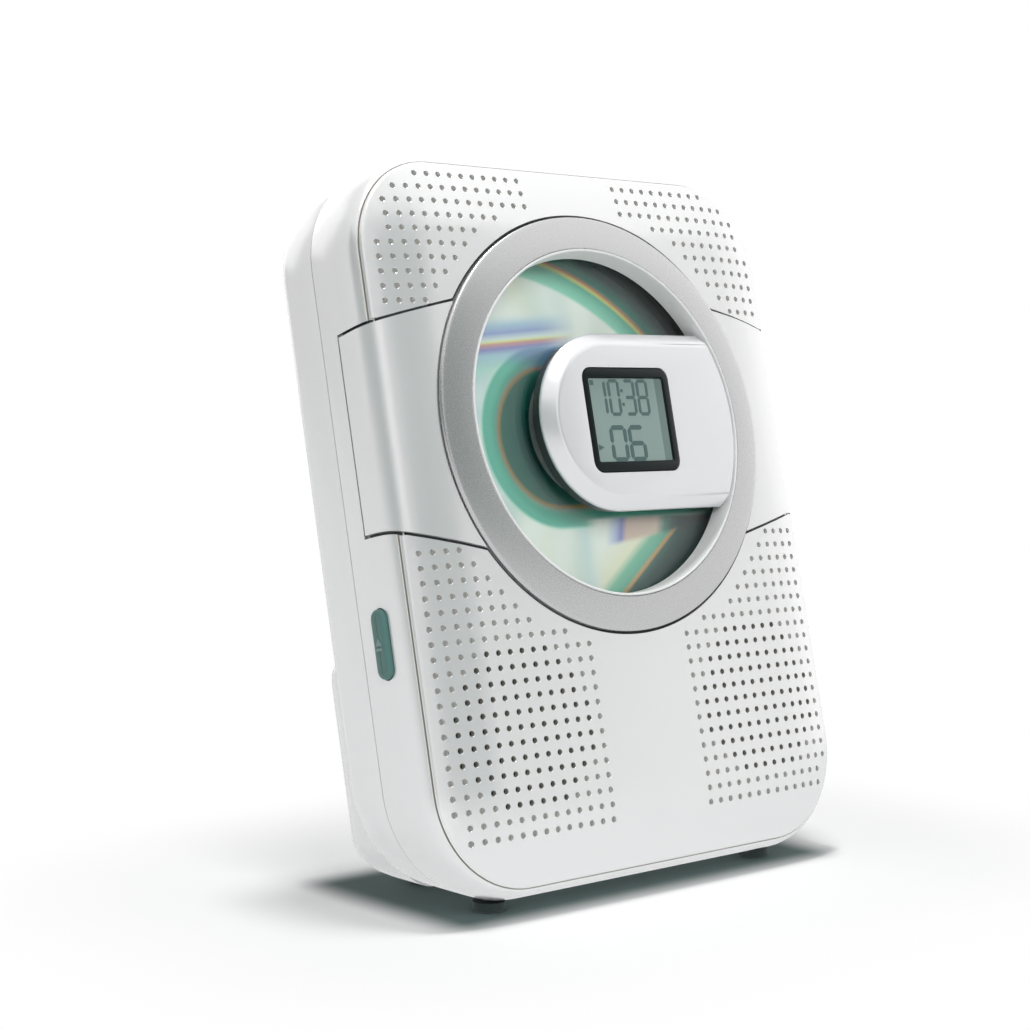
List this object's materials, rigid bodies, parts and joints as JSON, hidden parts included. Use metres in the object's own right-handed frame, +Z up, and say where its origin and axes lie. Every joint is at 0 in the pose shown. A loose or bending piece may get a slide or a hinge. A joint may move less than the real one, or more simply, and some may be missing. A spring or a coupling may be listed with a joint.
{
  "type": "portable compact disc player with speakers",
  "caption": "Upright portable disc player: round window lid with clock display hinged at its right edge, wrap-round lid wings, stereo speaker grilles, rear battery bulge, side open button.",
  "frame": {"origin": "centre of the standing player's footprint box, on the table plane under the feet", "axes": "+Z up, -Y out of the front towards the listener, +X to the right as seen from the front; the cabinet leans back 12.6 degrees"},
  "size_m": [0.1794, 0.0885, 0.2276],
  "materials": {
    "pearl_white_shell": "pearl satin, moulded ABS",
    "satin_silver_paint": "satin silver paint on ABS",
    "clear_window": "clear polished acrylic",
    "disc_aluminium": "polycarbonate with mirror layer",
    "teal_grey_keys": "satin teal grey",
    "black_plastic": "fine grain black",
    "bright_steel": "plain bright",
    "dark_rubber": "matt",
    "speaker_cone_paper": "pressed paper pulp",
    "ferrite_magnet": "sintered ferrite",
    "circuit_board": "solder mask over glass fibre",
    "display_glass": "reflective display glass",
    "pickup_lens_glass": "coated lens"
  },
  "bodies": {
    "cabinet": {"front_panel": "pearl_white_shell", "mid_frame": "pearl_white_shell", "rear_cover": "pearl_white_shell", "disc_well": "black_plastic", "volume_pot": "black_plastic", "headphone_jack": "black_plastic", "dc_jack": "black_plastic", "hinge_pin": "bright_steel", "mech_chassis": "bright_steel", "guide_rod_lower": "bright_steel", "guide_rod_upper": "bright_steel", "spindle_motor": "bright_steel", "sled_motor": "bright_steel", "speaker_frame_left": "bright_steel", "speaker_frame_right": "bright_steel", "battery_contact_left": "bright_steel", "battery_contact_right": "bright_steel", "screw_upper_left": "bright_steel", "screw_upper_right": "bright_steel", "screw_lower_left": "bright_steel", "screw_lower_right": "bright_steel", "foot_front_left": "dark_rubber", "foot_front_right": "dark_rubber", "foot_rear_left": "dark_rubber", "foot_rear_right": "dark_rubber", "grommet_1": "dark_rubber", "grommet_2": "dark_rubber", "grommet_3": "dark_rubber", "speaker_cone_left": "speaker_cone_paper", "speaker_cone_right": "speaker_cone_paper", "speaker_magnet_left": "ferrite_magnet", "speaker_magnet_right": "ferrite_magnet", "main_board": "circuit_board", "key_board": "circuit_board"},
    "lid": {"lid_frame": "pearl_white_shell", "ring_trim": "satin_silver_paint", "window_lens": "clear_window", "pod_housing": "pearl_white_shell", "lcd_bezel": "black_plastic", "lcd_panel": "display_glass", "display_board": "circuit_board"},
    "disc": {"compact_disc": "disc_aluminium", "spindle_hub": "black_plastic"},
    "pickup": {"pickup_sled": "black_plastic", "pickup_lens": "pickup_lens_glass"},
    "feed_screw": {"lead_screw": "bright_steel"},
    "open_latch": {"open_button": "teal_grey_keys", "latch_slider": "bright_steel"},
    "battery_hatch": {"battery_door": "pearl_white_shell"},
    "volume_knob": {"volume_wheel": "teal_grey_keys"},
    "power_slide": {"power_switch": "teal_grey_keys"},
    "key_back": {"button_back": "teal_grey_keys"},
    "key_play": {"button_play": "teal_grey_keys"},
    "key_stop": {"button_stop": "teal_grey_keys"},
    "key_forward": {"button_forward": "teal_grey_keys"},
    "key_mode": {"button_mode": "teal_grey_keys"}
  },
  "joints": [
    {"name": "lid_hinge", "type": "hinge", "parent": "cabinet", "child": "lid", "pos_m": [0.0871, 0.00173, 0.14109], "axis": [0, 0.2187, 0.9758], "range_deg": [0, 95]},
    {"name": "disc_spin", "type": "hinge", "parent": "cabinet", "child": "disc", "pos_m": [-0.0003, -0.00627, 0.14289], "axis": [0, -0.9758, 0.2187], "continuous": true},
    {"name": "feed_screw_turn", "type": "hinge", "parent": "cabinet", "child": "feed_screw", "pos_m": [-0.0095, -0.00196, 0.11732], "axis": [-1, 0, 0], "range_deg": [0, 1980]},
    {"name": "pickup_slide", "type": "slide", "parent": "cabinet", "child": "pickup", "axis": [-1, 0, 0], "range_m": [0, 0.033]},
    {"name": "latch_push", "type": "slide", "parent": "cabinet", "child": "open_latch", "axis": [1, 0, 0], "range_m": [0, 0.0018], "stiffness_N_per_m": 700, "springref_m": -0.001},
    {"name": "battery_hatch_hinge", "type": "hinge", "parent": "cabinet", "child": "battery_hatch", "pos_m": [-0.0003, 0.02427, 0.01327], "axis": [-1, 0, 0], "range_deg": [0, 75]},
    {"name": "volume_turn", "type": "hinge", "parent": "cabinet", "child": "volume_knob", "pos_m": [0.0791, -0.01376, 0.09302], "axis": [0, -0.9758, 0.2187], "range_deg": [0, 270]},
    {"name": "power_slide_joint", "type": "slide", "parent": "cabinet", "child": "power_slide", "axis": [0, 0.2187, 0.9758], "range_m": [0, 0.004]},
    {"name": "key_back_press", "type": "slide", "parent": "cabinet", "child": "key_back", "axis": [0, -0.2187, -0.9758], "range_m": [0, 0.0009], "stiffness_N_per_m": 300, "springref_m": -0.001},
    {"name": "key_play_press", "type": "slide", "parent": "cabinet", "child": "key_play", "axis": [0, -0.2187, -0.9758], "range_m": [0, 0.0009], "stiffness_N_per_m": 300, "springref_m": -0.001},
    {"name": "key_stop_press", "type": "slide", "parent": "cabinet", "child": "key_stop", "axis": [0, -0.2187, -0.9758], "range_m": [0, 0.0009], "stiffness_N_per_m": 300, "springref_m": -0.001},
    {"name": "key_forward_press", "type": "slide", "parent": "cabinet", "child": "key_forward", "axis": [0, -0.2187, -0.9758], "range_m": [0, 0.0009], "stiffness_N_per_m": 300, "springref_m": -0.001},
    {"name": "key_mode_press", "type": "slide", "parent": "cabinet", "child": "key_mode", "axis": [0, -0.2187, -0.9758], "range_m": [0, 0.0009], "stiffness_N_per_m": 300, "springref_m": -0.001}
  ],
  "couplings": [
    {"joint": "feed_screw_turn", "follows": "pickup_slide", "rad_per_m": 1047.2}
  ]
}
